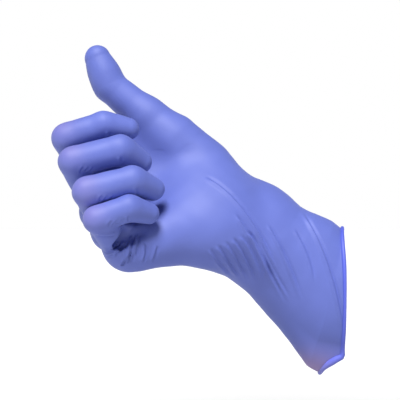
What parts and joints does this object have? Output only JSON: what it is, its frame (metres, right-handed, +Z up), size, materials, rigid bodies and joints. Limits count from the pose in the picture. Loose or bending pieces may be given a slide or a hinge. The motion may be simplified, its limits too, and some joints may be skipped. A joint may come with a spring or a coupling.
{
  "type": "nitrile glove",
  "caption": "Right-hand disposable nitrile glove, dip-moulded in one film with a rolled bead, held in a thumbs-up; fingers, thumb and wrist flex.",
  "frame": {"origin": "the centre of the cuff's mouth, in the plane of its outer edge", "axes": "+X out of the mouth, +Z up, so that the thumb points up and to -X; -Y is the side the palm faces"},
  "size_m": [0.1991, 0.1128, 0.2222],
  "materials": {
    "film": "satin, fine matte grain, slightly translucent periwinkle-blue nitrile",
    "bead": "satin, deeper blue where the film is rolled several layers thick"
  },
  "bodies": {
    "cuff": {"cuff_sleeve": "film", "rolled_bead": "bead"},
    "wrist": {"wrist_film": "film"},
    "hand": {"palm_and_back": "film"},
    "thumb_base": {"thumb_base": "film"},
    "thumb_middle": {"thumb_middle": "film"},
    "thumb_tip": {"thumb_tip": "film"},
    "index_base": {"index_base": "film"},
    "index_middle": {"index_middle": "film"},
    "index_tip": {"index_tip": "film"},
    "middle_base": {"middle_base": "film"},
    "middle_middle": {"middle_middle": "film"},
    "middle_tip": {"middle_tip": "film"},
    "ring_base": {"ring_base": "film"},
    "ring_middle": {"ring_middle": "film"},
    "ring_tip": {"ring_tip": "film"},
    "little_base": {"little_base": "film"},
    "little_middle": {"little_middle": "film"},
    "little_tip": {"little_tip": "film"}
  },
  "joints": [
    {"name": "wrist_lean", "type": "hinge", "parent": "cuff", "child": "wrist", "pos_m": [-0.06456, 0.00321, 0.05017], "axis": [-0.4675, 0.6034, -0.6461], "range_deg": [-4, 30]},
    {"name": "wrist_bend", "type": "hinge", "parent": "wrist", "child": "hand", "pos_m": [-0.087, -0.009, 0.055], "axis": [-0.1913, 0.6445, 0.7403], "range_deg": [-8, 40]},
    {"name": "thumb_root", "type": "hinge", "parent": "hand", "child": "thumb_base", "pos_m": [-0.10029, 0.00334, 0.0854], "axis": [0.0048, -1, -0.0071], "range_deg": [-8, 8]},
    {"name": "thumb_knuckle", "type": "hinge", "parent": "thumb_base", "child": "thumb_middle", "pos_m": [-0.13762, 0.00287, 0.12578], "axis": [0.0048, -1, -0.0071], "range_deg": [-12, 35]},
    {"name": "thumb_end", "type": "hinge", "parent": "thumb_middle", "child": "thumb_tip", "pos_m": [-0.16281, 0.0026, 0.14711], "axis": [0.0048, -1, -0.0071], "range_deg": [-4, 70]},
    {"name": "index_knuckle", "type": "hinge", "parent": "hand", "child": "index_base", "pos_m": [-0.17565, -0.00305, 0.07285], "axis": [-0.1553, 0.8034, 0.5748], "range_deg": [-68, 3]},
    {"name": "index_second_knuckle", "type": "hinge", "parent": "index_base", "child": "index_middle", "pos_m": [-0.18983, -0.02907, 0.10538], "axis": [-0.1553, 0.8034, 0.5748], "range_deg": [-91, 3]},
    {"name": "index_end_knuckle", "type": "hinge", "parent": "index_middle", "child": "index_tip", "pos_m": [-0.16541, -0.03063, 0.11416], "axis": [-0.1553, 0.8034, 0.5748], "range_deg": [-34.01, 1.14]},
    {"name": "middle_knuckle", "type": "hinge", "parent": "hand", "child": "middle_base", "pos_m": [-0.17286, -0.01456, 0.05522], "axis": [-0.2012, 0.7413, 0.6403], "range_deg": [-74, 3]},
    {"name": "middle_second_knuckle", "type": "hinge", "parent": "middle_base", "child": "middle_middle", "pos_m": [-0.18316, -0.04677, 0.08927], "axis": [-0.2012, 0.7413, 0.6403], "range_deg": [-94, 3]},
    {"name": "middle_end_knuckle", "type": "hinge", "parent": "middle_middle", "child": "middle_tip", "pos_m": [-0.15314, -0.04516, 0.09684], "axis": [-0.2012, 0.7413, 0.6403], "range_deg": [-52.02, 1.67]},
    {"name": "ring_knuckle", "type": "hinge", "parent": "hand", "child": "ring_base", "pos_m": [-0.163, -0.02779, 0.04227], "axis": [-0.2604, 0.6425, 0.7207], "range_deg": [-73, 3]},
    {"name": "ring_second_knuckle", "type": "hinge", "parent": "ring_base", "child": "ring_middle", "pos_m": [-0.17222, -0.06227, 0.06967], "axis": [-0.2604, 0.6425, 0.7207], "range_deg": [-98, 3]},
    {"name": "ring_end_knuckle", "type": "hinge", "parent": "ring_middle", "child": "ring_tip", "pos_m": [-0.14429, -0.05886, 0.07673], "axis": [-0.2604, 0.6425, 0.7207], "range_deg": [-46.02, 1.42]},
    {"name": "little_knuckle", "type": "hinge", "parent": "hand", "child": "little_base", "pos_m": [-0.15033, -0.04138, 0.03306], "axis": [-0.3142, 0.6667, 0.6759], "range_deg": [-60, 3]},
    {"name": "little_second_knuckle", "type": "hinge", "parent": "little_base", "child": "little_middle", "pos_m": [-0.16543, -0.06788, 0.05218], "axis": [-0.3142, 0.6667, 0.6759], "range_deg": [-106, 3]},
    {"name": "little_end_knuckle", "type": "hinge", "parent": "little_middle", "child": "little_tip", "pos_m": [-0.1458, -0.06597, 0.05942], "axis": [-0.3142, 0.6667, 0.6759], "range_deg": [-46.02, 1.32]}
  ],
  "couplings": [
    {"joint": "index_end_knuckle", "follows": "index_second_knuckle", "ratio": 0.3736},
    {"joint": "middle_end_knuckle", "follows": "middle_second_knuckle", "ratio": 0.5532},
    {"joint": "ring_end_knuckle", "follows": "ring_second_knuckle", "ratio": 0.4694},
    {"joint": "little_end_knuckle", "follows": "little_second_knuckle", "ratio": 0.434}
  ]
}
